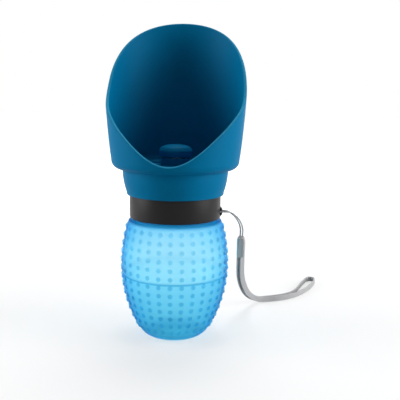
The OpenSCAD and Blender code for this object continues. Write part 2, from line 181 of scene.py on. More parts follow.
# %% [markdown]
# ## Building node trees by name
#
# Both shaders and Geometry Nodes are graphs of small steps. A few short functions keep them
# readable: one adds a step and plugs in its inputs, one chains arithmetic, and one starts a
# tree with its named inputs. A value that doesn't change over the surface is typed into its
# socket.

# %% Helpers for node trees
def step(tree, kind, inputs=None, **settings):
    """Adds a node; inputs are keyed by name or number, and hold a socket or a value."""
    node = tree.nodes.new(kind)
    for key, value in settings.items():
        setattr(node, key, value)
    for key, value in (inputs or {}).items():
        socket = node.inputs[key]
        if isinstance(value, bpy.types.NodeSocket):
            tree.links.new(value, socket)
        else:
            socket.default_value = value
    return node


def maths(tree, operation, *values):
    return step(tree, "ShaderNodeMath", dict(enumerate(values)), operation=operation).outputs[0]


def fade(tree, value, start, end, low=0.0, high=1.0):
    """A smooth step of value, from low at start to high at end."""
    ends = {"From Min": start, "From Max": end, "To Min": low, "To Max": high}
    node = step(tree, "ShaderNodeMapRange", {"Value": value, **ends},
                interpolation_type="SMOOTHSTEP")
    return node.outputs["Result"]


def fade_linear(tree, value, low, high):
    """From low where value is 0 to high where it is 1, in a straight line."""
    return maths(tree, "MULTIPLY_ADD", value, high - low, low)


def object_place(tree):
    """Where a point lies on the object, so that a pattern stays put on its piece."""
    return step(tree, "ShaderNodeTexCoord").outputs["Object"]


def named_input(tree, name, kind, value=None):
    socket = tree.interface.new_socket(name, in_out="INPUT", socket_type=kind)
    if value is not None:
        socket.default_value = value
    return socket.identifier


# %% Helpers for Geometry Nodes
def shape_tree(name, kinds):
    """A tree, the identifiers of its named inputs, and the sockets that they come in by."""
    tree = bpy.data.node_groups.new(name, "GeometryNodeTree")
    for direction in ("INPUT", "OUTPUT"):
        tree.interface.new_socket("Geometry", in_out=direction, socket_type="NodeSocketGeometry")
    inputs = {key: named_input(tree, key, "NodeSocket" + kind) for key, kind in kinds.items()}
    inputs["Material"] = named_input(tree, "Material", "NodeSocketMaterial")
    return tree, inputs, step(tree, "NodeGroupInput").outputs


def stored(tree, name):
    """A number that store() kept on each point."""
    return step(tree, "GeometryNodeInputNamedAttribute", {"Name": name},
                data_type="FLOAT").outputs[0]


def marked(tree, geometry, name, value):
    """Keeps a value on each point, under a name that a material can read."""
    return step(tree, "GeometryNodeStoreNamedAttribute",
                {"Geometry": geometry, "Name": name, "Value": value},
                data_type="FLOAT", domain="POINT").outputs[0]


def scaled(tree, vector, amount):
    return step(tree, "ShaderNodeVectorMath", {0: vector, "Scale": amount},
                operation="SCALE").outputs[0]


def raised(tree, geometry, rise):
    """Moves each point along its normal, by a rise in metres."""
    normal = step(tree, "GeometryNodeInputNormal").outputs[0]
    return step(tree, "GeometryNodeSetPosition",
                {"Geometry": geometry, "Offset": scaled(tree, normal, rise)}).outputs[0]


def finish_tree(tree, geometry, material):
    """Makes instances real, gives every face its material, and ends the tree."""
    real = step(tree, "GeometryNodeRealizeInstances", {"Geometry": geometry})
    coated = step(tree, "GeometryNodeSetMaterial",
                  {"Geometry": real.outputs[0], "Material": material})
    step(tree, "NodeGroupOutput", {"Geometry": coated.outputs[0]})


def run_tree(piece, tree, inputs, values):
    """Runs a tree on a piece, with each input set by its identifier, and keeps the result."""
    modifier = piece.modifiers.new(tree.name, "NODES")
    modifier.node_group = tree
    for name, value in values.items():
        modifier[inputs[name]] = value
    applied(piece)
    shade_smooth(piece.data)


# %% [markdown]
# ## The wrist strap's routes
#
# The strap is made of two soft parts. A thin cord loops round the collar's bar and runs down
# into a sleeve, and flat webbing leaves the sleeve as a long loop that falls to the floor. Both
# are limp, so their shape is only a route: points chosen where the strap hangs and lies, with a
# smooth curve drawn through them. The routes come first, because everything near the strap has
# to keep clear of them.

# %% Routes of the cord and the webbing
cord_diameter = 0.0012
cord_route = [
    (0.0534, 0.0124, 0.0769), (0.0535, 0.0112, 0.0796), (0.0535, 0.0089, 0.0840),
    (0.0525, 0.0068, 0.0884), (0.0505, 0.0044, 0.0927), (0.0475, 0.0019, 0.0964),
    (0.0437, -0.0004, 0.0992), (0.0401, -0.0021, 0.1000), (0.0366, -0.0025, 0.1000),
    (0.0350, -0.0022, 0.1000), (0.0344, -0.0012, 0.1000), (0.0344, 0.0000, 0.1000),
    (0.0344, 0.0012, 0.1000), (0.0350, 0.0022, 0.1000), (0.0366, 0.0025, 0.1000),
    (0.0390, 0.0028, 0.1002), (0.0421, 0.0035, 0.0992), (0.0457, 0.0049, 0.0964),
    (0.0487, 0.0064, 0.0925), (0.0507, 0.0080, 0.0884), (0.0516, 0.0095, 0.0840),
    (0.0516, 0.0112, 0.0796), (0.0516, 0.0124, 0.0769)]

# Middle of the webbing's two runs, and how far each run lies from that middle
webbing_width = 0.005
webbing_thickness = 0.0012
webbing_sleeve_turn = math.radians(-48)
webbing_turn_length = 0.11
webbing_route = [
    (0.0525, 0.0216, 0.0591, 0.0013), (0.0525, 0.0240, 0.0540, 0.0013),
    (0.0525, 0.0285, 0.0465, 0.0013), (0.0530, 0.0360, 0.0370, 0.0013),
    (0.0550, 0.0460, 0.0265, 0.0013), (0.0585, 0.0580, 0.0160, 0.0013),
    (0.0640, 0.0690, 0.0080, 0.0013), (0.0710, 0.0765, 0.0036, 0.0014),
    (0.0790, 0.0810, 0.0027, 0.0016), (0.0875, 0.0845, 0.0027, 0.0018),
    (0.0960, 0.0895, 0.0027, 0.0019), (0.1040, 0.0970, 0.0027, 0.0023),
    (0.1105, 0.1070, 0.0027, 0.0034), (0.1160, 0.1190, 0.0027, 0.0046),
    (0.1210, 0.1315, 0.0027, 0.0052), (0.1250, 0.1430, 0.0027, 0.0046)]


def path_length(points):
    return float(np.linalg.norm(np.diff(np.asarray(points)[:, :3], axis=0), axis=1).sum())


def directions(points):
    """The way ahead at each point of a path, one unit long."""
    ahead = np.gradient(np.asarray(points), axis=0)
    return ahead / np.linalg.norm(ahead, axis=1)[:, None]


def smooth_path(points, spacing):
    """A curve through every point (Catmull-Rom), cut into even steps of about spacing."""
    points = np.asarray(points, float)
    padded = np.vstack([2 * points[0] - points[1], points, 2 * points[-1] - points[-2]])
    dense = []
    for a, b, c, d in zip(padded, padded[1:], padded[2:], padded[3:]):
        for t in np.linspace(0, 1, 24, endpoint=False):
            dense.append(0.5 * (2 * b + (c - a) * t + (2 * a - 5 * b + 4 * c - d) * t * t
                                + (3 * b - 3 * c + d - a) * t ** 3))
    dense = np.array(dense + [points[-1]])
    steps = np.linalg.norm(np.diff(dense[:, :3], axis=0), axis=1)
    length = np.concatenate([[0], np.cumsum(steps)])
    marks = np.linspace(0, length[-1], max(2, round(length[-1] / spacing)) + 1)
    columns = [np.interp(marks, length, column) for column in dense.T]
    return np.stack(columns, axis=1)


def webbing_loop(route, first_way):
    """Both runs and the bend between them: each point, and the way the width lies there."""
    route = np.array(route)
    middle, gap = route[:, :3], route[:, 3:]
    ahead = directions(middle)
    ahead[0] = first_way
    side = np.cross(ahead, (0, 0, 1))
    side /= np.linalg.norm(side, axis=1)[:, None]
    width = np.cross(side, ahead)
    bend_turns = np.radians([[30], [60], [90], [120], [150]])
    bend_long = 1.5
    bend = middle[-1] + gap[-1] * (np.cos(bend_turns) * side[-1]
                                   + bend_long * np.sin(bend_turns) * ahead[-1])
    points = np.vstack([middle + gap * side, bend, (middle - gap * side)[::-1]])
    widths = np.vstack([width, np.repeat(width[-1:], len(bend_turns), axis=0), width[::-1]])
    return np.hstack([points, widths])


webbing_leaves = np.array((0, 0.454, -0.891))    # the way the webbing leaves its sleeve
webbing_step = 0.0003
cord_path = smooth_path(cord_route, 0.0005)
webbing_path = smooth_path(webbing_loop(webbing_route, webbing_leaves), webbing_step)
print(f"cord {path_length(cord_path) / MM:.0f} mm,",
      f"webbing loop {path_length(webbing_path) / MM:.0f} mm")

# %% [markdown]
# ## Finishes: one group for everything that is moulded
#
# The cup, the knob, the collar and the silicone all come out of steel moulds. Seen closely, such
# a surface is never one flat colour: it has a fine matt grain from the mould, and soft clouds
# where the plastic flowed. One group makes both from noise on Object coordinates, so a cloud
# stays put on its piece. Each finish gives it its own grain size and strength.

# %% Moulded skin group
def moulded_group():
    tree = bpy.data.node_groups.new("moulded_skin", "ShaderNodeTree")
    named_input(tree, "Color", "NodeSocketColor", (0.5, 0.5, 0.5, 1))
    named_input(tree, "Roughness", "NodeSocketFloat", 0.4)
    named_input(tree, "Grain Size", "NodeSocketFloat", 0.0004)
    named_input(tree, "Cloud Strength", "NodeSocketFloat", 0.05)
    for name, kind in (("Color", "NodeSocketColor"), ("Roughness", "NodeSocketFloat"),
                       ("Height", "NodeSocketFloat")):
        tree.interface.new_socket(name, in_out="OUTPUT", socket_type=kind)
    given = step(tree, "NodeGroupInput").outputs
    place = object_place(tree)
    per_metre = maths(tree, "DIVIDE", 1.0, given["Grain Size"])
    grain = step(tree, "ShaderNodeTexNoise", {"Vector": place, "Scale": per_metre, "Detail": 2.0})
    clouds = step(tree, "ShaderNodeTexNoise", {"Vector": place, "Scale": 38.0, "Detail": 3.0})
    cloud = maths(tree, "SUBTRACT", clouds.outputs["Fac"], 0.5)
    lift = maths(tree, "MULTIPLY_ADD", cloud, given["Cloud Strength"], 1.0)
    tinted = step(tree, "ShaderNodeHueSaturation", {"Color": given["Color"], "Value": lift})
    rough = maths(tree, "MULTIPLY_ADD", cloud, 0.18, given["Roughness"])
    speck = maths(tree, "SUBTRACT", grain.outputs["Fac"], 0.5)
    rough = maths(tree, "MULTIPLY_ADD", speck, 0.12, rough)
    step(tree, "NodeGroupOutput", {"Color": tinted.outputs[0], "Roughness": rough,
                                   "Height": grain.outputs["Fac"]})
    return tree


moulded_skin = moulded_group()


def finish(name, **constants):
    """A material and its Principled shader, with the constant sockets set directly."""
    material = bpy.data.materials.new(name)
    material.use_nodes = True
    shader = material.node_tree.nodes["Principled BSDF"]
    for key, value in constants.items():
        shader.inputs[key.replace("_", " ")].default_value = value
    return material, material.node_tree, shader


def moulded(name, color, roughness, grain=0.0004, relief=0.00002, clouds=0.1, **constants):
    """A finish from a mould. color is a colour, or a function that builds one in the tree."""
    material, tree, shader = finish(name, **constants)
    skin = step(tree, "ShaderNodeGroup", {
        "Color": color(tree) if callable(color) else color, "Roughness": roughness,
        "Grain Size": grain, "Cloud Strength": clouds}, node_tree=moulded_skin).outputs
    bump = step(tree, "ShaderNodeBump", {"Height": skin["Height"], "Distance": relief})
    tree.links.new(skin["Color"], shader.inputs["Base Color"])
    tree.links.new(skin["Roughness"], shader.inputs["Roughness"])
    tree.links.new(bump.outputs["Normal"], shader.inputs["Normal"])
    return material


def attribute(tree, name):
    return step(tree, "ShaderNodeAttribute", attribute_name=name).outputs["Fac"]


def blend_color(tree, amount, first, second):
    """First where amount is 0 and second where it is 1."""
    return step(tree, "ShaderNodeMix", {0: amount, 6: first, 7: second}, data_type="RGBA",
                clamp_factor=True).outputs[2]


# %% [markdown]
# ## The colours of the rigid pieces
#
# The cup and its knob are a deep petrol blue with a satin skin. Along the scoop's rim the blue is
# painted a little paler, a painted highlight where the rounded edge catches the light, and that
# follows a mask stored on the rim's own points. The collar is polished black. The pieces inside
# are natural plastic, clear silicone, black rubber and spring steel.

# %% Finishes of the rigid pieces
def linear(red, green, blue):
    """A colour as a screen shows it, 0 to 255, turned into the light that it stands for."""
    shares = [c / 255 for c in (red, green, blue)]
    light = [c / 12.92 if c <= 0.04045 else ((c + 0.055) / 1.055) ** 2.4 for c in shares]
    return (*light, 1.0)


def cup_color(tree):
    # Where the rim mask is set the blue is paler: a painted highlight along the rim and on the
    # floor rib
    return blend_color(tree, attribute(tree, "rim"), linear(0, 109, 153), linear(44, 140, 178))


cup_blue = moulded("cup_blue", cup_color, 0.5, grain=0.0005, clouds=0.12,
                   Specular_IOR_Level=0.03)
black_gloss = moulded("black_gloss", linear(32, 31, 32), 0.4, grain=0.0012, relief=0.000008,
                      Specular_IOR_Level=0.12)
natural_plastic = moulded("natural_plastic", linear(226, 230, 232), 0.45)
clear_silicone = moulded("clear_silicone", linear(206, 214, 220), 0.35,
                         Transmission_Weight=0.9, IOR=1.4)
black_rubber = moulded("black_rubber", linear(24, 24, 25), 0.6)
clip_grey = moulded("clip_grey", linear(196, 193, 189), 0.5, grain=0.0003, clouds=0.15,
                    Specular_IOR_Level=0.3)
clip_steel = moulded("clip_steel", linear(200, 202, 206), 0.28, grain=0.0002, Metallic=1.0)
print("finishes:", [m.name for m in bpy.data.materials])

# %% [markdown]
# ## Silicone that glows
#
# The bottle is a translucent sky blue, and most of what is seen of it is light that came in from
# behind. So the wall transmits, with a rough skin that blurs, and a tint inside the wall deepens
# the blue wherever a ray travels further through it, at the sides and in the nubs. Where water
# stands behind the wall the blue is deeper too, and the water's surface shows as one thin dark
# line. That part is a ramp up the bottle's own height, darkened by a mask that the nubs leave.
# The ramp also paints shade: it darkens towards the foot, painted shade where less light
# reaches, and turns a dark blue at the neck, a painted shadow under the collar.

# %% Silicone finish
barrel_height, water_height = 93, 51    # mm above the floor
water_share = water_height / barrel_height

# Colours up the barrel, by share of its height, with the water's line between two close pairs.
# The first stops paint shade towards the foot. The last two darken towards the shoulder, and the
# last paints the shadow in the neck under the collar.
line_color, line_half, line_clear = (124, 193, 219), 0.003, 0.01
silicone_stops = [
    (0.0, (176, 222, 230)), (0.2, (188, 229, 239)), (0.42, (220, 243, 248)),
    (water_share - line_clear, (224, 244, 249)), (water_share - line_half, line_color),
    (water_share + line_half, line_color), (water_share + line_clear, (255, 253, 252)),
    (0.72, (252, 250, 250)), (0.985, (205, 230, 242)), (1.0, (40, 124, 162))]


def silicone_color(tree):
    height = step(tree, "ShaderNodeSeparateXYZ", {0: object_place(tree)}).outputs["Z"]
    share = maths(tree, "DIVIDE", height, barrel_height * MM)
    ramp = step(tree, "ShaderNodeValToRGB", {"Fac": share})
    bands = ramp.color_ramp.elements
    for band, (position, color) in zip(bands, (silicone_stops[0], silicone_stops[-1])):
        band.position, band.color = position, linear(*color)
    for position, color in silicone_stops[1:-1]:
        bands.new(position).color = linear(*color)
    # The nubs show most round the barrel's middle, and less near the foot and the shoulder
    low_share = fade(tree, share, 0.05, 0.26, 0.25, 1.0)
    high_share = fade(tree, share, water_share, 0.8, 0.95, 0.6)
    on_nub = fade(tree, attribute(tree, "nub"), 0.0, 0.5)
    nub = maths(tree, "MULTIPLY", on_nub, maths(tree, "MULTIPLY", low_share, high_share))
    shade = step(tree, "ShaderNodeMix", {0: 1.0, 6: ramp.outputs["Color"],
                                         7: linear(158, 206, 226)},
                 data_type="RGBA", blend_type="MULTIPLY").outputs[2]
    return blend_color(tree, nub, ramp.outputs["Color"], shade)


sky_silicone = moulded("sky_silicone", silicone_color, 0.55, grain=0.0008, relief=0.00003,
                       clouds=0.1, Transmission_Weight=0.96, IOR=1.07, Coat_Weight=0.03,
                       Coat_Roughness=0.3)
silicone_tree = sky_silicone.node_tree
depth_tint = step(silicone_tree, "ShaderNodeVolumeAbsorption",
                  {"Color": linear(48, 224, 246), "Density": 225.0})
silicone_tree.links.new(depth_tint.outputs[0],
                        silicone_tree.nodes["Material Output"].inputs["Volume"])

# %% [markdown]
# ## The bottle's skin and its nubs
#
# The bottle is one moulding: a foot, a barrel whose side is two long arcs, a rounded shoulder
# and a neck that the collar grips. The nubs are not stuck on. They swell out of the skin, so
# they are made by moving the skin's own points outwards, and each keeps a soft foot. A Geometry
# Nodes tree works out which nub a point is nearest to, from its angle and its height, so the
# count, the pitch and the size of the nubs stay named inputs.

# %% The barrel's outline
belly_radius, belly_height = 41.7, 58
shoulder_radius = 36.3
foot_radius, foot_height = 26, 3
neck_radius, neck_inner, neck_foot, neck_top = 32.0, 29.7, 93.2, 109.0
bead_radius, bead_foot = 33.3, neck_top - 3
wall = 2.2


def arc_radius(run, rise):
    """Radius of an arc that curves in by rise over run."""
    return (run * run + rise * rise) / (2 * rise)


upper_arc = arc_radius(barrel_height - belly_height, belly_radius - shoulder_radius)
lower_arc = arc_radius(belly_height - foot_height, belly_radius - foot_radius)


def barrel_radius(z):
    arc = np.where(z > belly_height, upper_arc, lower_arc)
    return belly_radius - arc + np.sqrt(arc * arc - (z - belly_height) ** 2)


# The barrel runs into its foot on one arc, which starts where the side begins
side_start, side_end, side_step = 6.2, 91.5, 0.62
side_lean = math.asin((belly_height - side_start) / lower_arc)
foot_arc = side_start / (1 - math.sin(side_lean))
foot_flat = barrel_radius(side_start) - foot_arc * math.cos(side_lean)
foot_turn = np.linspace(-math.pi / 2, -side_lean, 12)[:-1]
foot_round = np.stack([foot_flat + foot_arc * np.cos(foot_turn),
                       foot_arc + foot_arc * np.sin(foot_turn)], axis=1)
side_z = np.arange(side_start, side_end, side_step)
side = np.stack([barrel_radius(side_z), side_z], axis=1)
shoulder = rounded_outline([
    (barrel_radius(side_end), side_end), (shoulder_radius, barrel_height, 1.3),
    (neck_radius, neck_foot, 0.4), (neck_radius, bead_foot, 0.3), (bead_radius, bead_foot, 0.5),
    (bead_radius, neck_top, 0.5), (neck_inner, neck_top, 0.5), (neck_inner, 92, 2.5),
    (shoulder_radius - wall, 90.5, 1)], steps=5)
inner_start, inner_end = 89, 8
inner_z = np.linspace(inner_start, inner_end, 26)
inside = np.stack([barrel_radius(inner_z) - wall, inner_z], axis=1)
inner_floor = [(25.6, 5.2), (22.4, 3.2), (19, 2.4), (10, 2.2), (0, 2.2)]
foot_ring = [(0, 0), (11.5, 0), (11.8, 0.7), (14.1, 0.7), (14.4, 0)]
bottle_outline = np.vstack([foot_ring, foot_round, side, shoulder, inside, inner_floor])
squeeze_skin = turned("squeeze_skin", bottle_outline, columns=360)
report(squeeze_skin)

# %% Points that may rise into nubs: only the barrel's outer side
def store(piece, name, values):
    """Keeps one number on each point of the piece, under a name that a material can read."""
    layer = piece.data.attributes.new(name, "FLOAT", "POINT")
    layer.data.foreach_set("value", np.asarray(values, np.float32))


lowest_skin, skin_slack = 3.5, 0.05
skin_x, skin_y, skin_z = np.array([v.co for v in squeeze_skin.data.vertices]).T / MM
off_barrel = np.abs(np.hypot(skin_x, skin_y) - barrel_radius(skin_z))
on_skin = (off_barrel < skin_slack) & (skin_z > lowest_skin)
store(squeeze_skin, "skin", on_skin)
print(f"{on_skin.sum()} of {len(on_skin)} points lie on the barrel's outer side")

# %% Nubs, as a field on the skin
def nub_tree():
    tree, inputs, given = shape_tree("nubs", {
        "Columns": "Int", "Rows": "Int", "Top Row": "Float", "Pitch": "Float",
        "Nub Radius": "Float", "Nub Height": "Float", "Turn": "Float"})
    place = step(tree, "GeometryNodeInputPosition").outputs[0]
    x, y, z = step(tree, "ShaderNodeSeparateXYZ", {0: place}).outputs
    # Round the bottle: how far a point lies from the nearest column of nubs
    radius = maths(tree, "SQRT", maths(tree, "MULTIPLY_ADD", x, x, maths(tree, "MULTIPLY", y, y)))
    angle = maths(tree, "ARCTAN2", x, maths(tree, "MULTIPLY", y, -1.0))
    turns = maths(tree, "DIVIDE", maths(tree, "SUBTRACT", angle, given["Turn"]), 2 * math.pi)
    column = maths(tree, "WRAP", maths(tree, "MULTIPLY", turns, given["Columns"]), 0.5, -0.5)
    arc = maths(tree, "DIVIDE", maths(tree, "MULTIPLY", column, radius), given["Columns"])
    across = maths(tree, "MULTIPLY", arc, 2 * math.pi)
    # Up the bottle: how far it lies from the nearest row
    drop = maths(tree, "DIVIDE", maths(tree, "SUBTRACT", given["Top Row"], z), given["Pitch"])
    last_row = maths(tree, "SUBTRACT", given["Rows"], 1.0)
    nearest = maths(tree, "MAXIMUM", maths(tree, "ROUND", drop), 0.0)
    row = maths(tree, "MINIMUM", nearest, last_row)
    up = maths(tree, "MULTIPLY", maths(tree, "SUBTRACT", drop, row), given["Pitch"])
    # The nub's dome over that distance
    up_squared = maths(tree, "MULTIPLY", up, up)
    away = maths(tree, "SQRT", maths(tree, "MULTIPLY_ADD", across, across, up_squared))
    share = maths(tree, "MINIMUM", maths(tree, "DIVIDE", away, given["Nub Radius"]), 1.0)
    left = maths(tree, "SUBTRACT", 1.0, maths(tree, "MULTIPLY", share, share))
    dome = maths(tree, "MULTIPLY", maths(tree, "POWER", left, 1.3), stored(tree, "skin"))
    rise = maths(tree, "MULTIPLY", dome, given["Nub Height"])
    risen = raised(tree, given["Geometry"], rise)
    finish_tree(tree, marked(tree, risen, "nub", dome), given["Material"])
    return tree, inputs


run_tree(squeeze_skin, *nub_tree(), {
    "Columns": 30, "Rows": 13, "Top Row": 88 * MM, "Pitch": 6.5 * MM, "Nub Radius": 2.2 * MM,
    "Nub Height": 1.3 * MM, "Turn": math.radians(1.5), "Material": sky_silicone})
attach(squeeze_skin, "bottle")
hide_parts("squeeze_bottle")
report(squeeze_skin)

# %% [markdown]
# ## The drinking scoop
#
# The scoop and the socket under it are one moulding. Its wall is turned, but its rim is not
# level: seen from the side, it climbs steeply from the front lip, eases along the sides, and
# climbs again to the back. So the wall is built one slice at a time. Each slice finds the height
# of the rim at its own angle, and the same number of points is spread below it, so that
# neighbouring slices join in quads and the rim keeps its full round all the way.

# %% The scoop's outline and its rim
deck, floor_top, skirt_foot = 133.2, 136.0, 113.2
scoop_radius, scoop_foot, scoop_widest = 54.2, 49.5, 215.0
corner, scoop_wall = 6.8, 2.4
corner_x = scoop_foot - corner
scoop_arc = arc_radius(scoop_widest - deck - corner, scoop_radius - scoop_foot)

# The opening's edge, seen from the side: a share of the way to the back, and the slope there
edge_slopes = [(0, 70), (0.13, 47), (0.33, 29.5), (0.56, 56), (1, 33.5)]
lip_height, lip_y = 139.0, -scoop_foot
opening_depth = scoop_radius - lip_y


def span_rise(width, run, first, second):
    """Rise along run of a span, where the slope turns evenly from the first to the second."""
    first, turn = math.radians(first), math.radians(second - first)
    return width / turn * math.log(math.cos(first) / math.cos(first + turn * run / width))


def opening_height(y):
    """Height of the opening's edge, seen from the side."""
    height = lip_height + min(0, y - lip_y) * math.tan(math.radians(edge_slopes[0][1]))
    height += max(0, y - scoop_radius) * math.tan(math.radians(edge_slopes[-1][1]))
    for (start, first), (end, second) in zip(edge_slopes, edge_slopes[1:]):
        width = (end - start) * opening_depth
        run = min(width, max(0, y - lip_y - start * opening_depth))
        height += span_rise(width, run, first, second)
    return height


def outer_radius(z):
    if z >= deck + corner:
        drop = max(0.0, scoop_widest - z)
        return scoop_radius - scoop_arc + math.sqrt(scoop_arc ** 2 - drop ** 2)
    return corner_x + math.sqrt(max(0.0, corner ** 2 - (deck + corner - z) ** 2))


def inner_radius(z):
    small = corner - scoop_wall
    if z >= floor_top + small:
        return outer_radius(z) - scoop_wall
    return corner_x + math.sqrt(max(0.0, small ** 2 - (floor_top + small - z) ** 2))


def rim_height(angle):
    height = lip_height
    for _ in range(30):
        height = opening_height(-outer_radius(height) * math.cos(angle))
    return height


def wall_points(radius_at, low, small, top, arc_count=12, wall_count=34):
    """Points up one side of the wall: through the bottom corner's arc, then to the rim."""
    turn_top = math.asin(min(0.0, max(-1.0, (top - low - small) / small)))
    arc_length = small * (turn_top + math.pi / 2)
    whole = arc_length + max(0.0, top - low - small)
    split = min(arc_length, 0.6 * whole)

    def at(length):
        if length <= arc_length:
            turn = length / small - math.pi / 2
            return corner_x + small * math.cos(turn), low + small * (1 + math.sin(turn))
        z = low + small + length - arc_length
        return radius_at(z), z

    marks = np.concatenate([np.linspace(0, split, arc_count, endpoint=False),
                            np.linspace(split, whole, wall_count)])
    return [at(m) for m in marks]


# %% The scoop's mesh, slice by slice
port_count, port_radius, port_circle = 6, 1.4, 8.85
seat_radius, seat_top = 11.2, 141.6
guide_radius, stem_bore, guide_foot = 6.5, 4.08, 126.0
skirt_bore, skirt_edge, skirt_top_radius = 35.95, 37.85, 40.95
scoop_slices = 256

# The parts that are the same in every slice: the skirt's outside and bore, the guide, the seat
skirt_curve_foot = skirt_foot + 2
skirt_arc = arc_radius(deck - skirt_curve_foot, skirt_top_radius - skirt_edge)
skirt_side = [(skirt_top_radius - skirt_arc + math.sqrt(skirt_arc ** 2 - (deck - z) ** 2), z)
              for z in np.linspace(deck - 0.9, skirt_curve_foot, 9)]
fixed_outline = rounded_outline([
    (skirt_top_radius + 0.9, deck), *skirt_side, (skirt_edge - 0.1, skirt_foot, 0.9),
    (skirt_bore, skirt_foot, 0.5), (skirt_bore, deck, 0.6), (guide_radius, deck, 0.6),
    (guide_radius, guide_foot, 0.4), (stem_bore, guide_foot, 0.3), (stem_bore, seat_top, 0.3),
    (seat_radius, seat_top, 0.5), (seat_radius, floor_top, 0.8), (corner_x - 6, floor_top)])


def scoop_slice(angle, rim):
    """One slice: the fixed part, up the inside, round the rim and down the outside."""
    half_wall = scoop_wall / 2
    rim_centre = rim - half_wall
    inner = wall_points(inner_radius, floor_top, corner - scoop_wall, rim_centre)
    outer = wall_points(outer_radius, deck, corner, rim_centre)
    middle, half = (inner[-1][0] + outer[-1][0]) / 2, (outer[-1][0] - inner[-1][0]) / 2
    edge = [(middle - half * math.cos(t), rim_centre + half_wall * math.sin(t))
            for t in np.linspace(0, math.pi, 11)[1:-1]]
    radius, height = np.array([*fixed_outline, *inner, *edge, *outer[::-1]]).T * MM
    return np.stack([radius * math.sin(angle), -radius * math.cos(angle), height], axis=1)


slice_angles = np.linspace(0, 2 * math.pi, scoop_slices + 1)
rims = [rim_height(angle) for angle in slice_angles]
scoop = rows_to_mesh("scoop", [scoop_slice(a, rim) for a, rim in zip(slice_angles[:-1], rims)])
print(f"rim from {min(rims):.1f} to {max(rims):.1f} mm above the floor")

# %% [markdown]
# ## A short rib on the scoop's floor
#
# Left of the valve the moulding has one short upright rib. A box is the whole of its shape, but
# no moulded edge is sharp, so a bevel rounds all twelve.

# %% Rib on the scoop's floor
def box_piece(name, low, high, rounding, segments=3):
    """A box with rounded edges, from its lowest to its highest corner in mm."""
    shape = bmesh.new()
    bmesh.ops.create_cube(shape, size=1)
    low, high = np.array(low) * MM, np.array(high) * MM
    for vertex in shape.verts:
        vertex.co = Vector(low + (np.array(vertex.co) + 0.5) * (high - low))
    bmesh.ops.bevel(shape, geom=shape.edges[:], offset=rounding * MM, segments=segments,
                    profile=0.5, affect="EDGES")
    mesh = bpy.data.meshes.new(name)
    shape.to_mesh(mesh)
    shape.free()
    shade_smooth(mesh)
    return scene_object(name, mesh)


rib_low, rib_high, rib_rounding = (-20.2, 8.6, 135.5), (-7.2, 9.8, 137.4), 0.35
rib = box_piece("floor_rib", rib_low, rib_high, rib_rounding)
# The whole rib takes the paler rim blue: a painted highlight
store(rib, "rim", np.ones(len(rib.data.vertices)))
rib.data.materials.append(cup_blue)
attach(rib, "cup")
report(rib)

# %% [markdown]
# ## Water ports, and the painted highlight along the rim
#
# Six ports pass through the valve's seat, under the washer. They are real holes, and a round
# hole through a turned shape is quickest made with a boolean: small drills stand in a ring, and
# one exact cut takes them all out. From then on the scoop's points stay as they are, so each
# gets the number that paints the rim's highlight, a paler band, from its distance below the rim
# at its own angle.

# %% Water ports through the valve's seat
def cut_away(piece, tool):
    """Takes the tool's shape out of the piece, and removes the tool."""
    cut = piece.modifiers.new(tool.name, "BOOLEAN")
    cut.object, cut.operation, cut.solver = tool, "DIFFERENCE", "EXACT"
    applied(piece)
    bpy.data.objects.remove(tool)
    piece.data.set_sharp_from_angle(angle=crisp_angle)


drill_length, drill_middle = 14, 137
drills = bmesh.new()
for i in range(port_count):
    turn = 2 * math.pi * i / port_count
    made = bmesh.ops.create_cone(drills, cap_ends=True, segments=24, radius1=port_radius * MM,
                                 radius2=port_radius * MM, depth=drill_length * MM)
    place = Vector((port_circle * math.sin(turn), port_circle * math.cos(turn), drill_middle))
    bmesh.ops.translate(drills, verts=made["verts"], vec=place * MM)
drill_mesh = bpy.data.meshes.new("port_drills")
drills.to_mesh(drill_mesh)
drills.free()
cut_away(scoop, scene_object("port_drills", drill_mesh))

# %% Painted highlight along the scoop's rim
rim_highlight_band, rim_highlight_fade = 1.0, 0.9
scoop_x, scoop_y, scoop_z = np.array([v.co for v in scoop.data.vertices]).T / MM
rim_here = np.interp(np.arctan2(scoop_x, -scoop_y) % (2 * math.pi), slice_angles, rims)
# A paler band just below the rim at each angle: a painted highlight on the rounded edge
painted_rim_highlight = np.clip((scoop_z - rim_here + rim_highlight_band) / rim_highlight_fade, 0, 1)
painted_rim_highlight[np.hypot(scoop_x, scoop_y) < corner_x] = 0
store(scoop, "rim", painted_rim_highlight)
scoop.data.materials.append(cup_blue)
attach(scoop, "cup")
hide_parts("scoop_cup")
report(scoop)

# %% [markdown]
# ## The valve
#
# A mushroom knob stands in the middle of the scoop. Pulled up, it lifts a washer off the ring of
# ports below. The knob is turned from an outline with a generous shoulder, so it catches the
# light as a soft lens shape. The washer, the stem, its O-ring and its clip are already the right
# shapes in the frame, so they only get their finishes.

# %% Knob and the pieces under it
knob_foot, knob_top, knob_radius = 142.5, 151.5, 13.2
recess_radius, recess_top, stem_hole, stem_top = 11.0, 143.4, 4.05, 148.5
knob = turned("knob", rounded_outline([
    (0, knob_top), (7.5, knob_top - 0.1, 16), (11.2, knob_top - 1.9, 2.6),
    (knob_radius, knob_foot + 4.4, 2.4), (knob_radius - 0.5, knob_foot + 2, 2),
    (recess_radius + 0.7, knob_foot, 0.3), (recess_radius, knob_foot, 0.2),
    (recess_radius, recess_top, 0.2), (stem_hole, recess_top, 0.2), (stem_hole, stem_top),
    (0, stem_top)], steps=6), columns=96)
knob.data.materials.append(cup_blue)
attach(knob, "valve")
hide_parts("valve_knob")
report(knob)

for node, material in (("neck_ring", natural_plastic), ("mouth_seal", clear_silicone),
                       ("knob_seal", clear_silicone), ("valve_stem", natural_plastic),
                       ("stem_oring", black_rubber), ("valve_clip", clip_steel)):
    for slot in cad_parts[node].material_slots:
        slot.material = material

# %% [markdown]
# ## The collar
#
# The black collar screws and clamps everything together. It is polished, so its edges matter
# more than its face: each carries a thin line of light. On its right side a small upright bar
# bridges a pocket, and the strap's cord loops round it. The band is turned, the pocket is cut
# with a boolean, and the bar is drawn as a short staple.

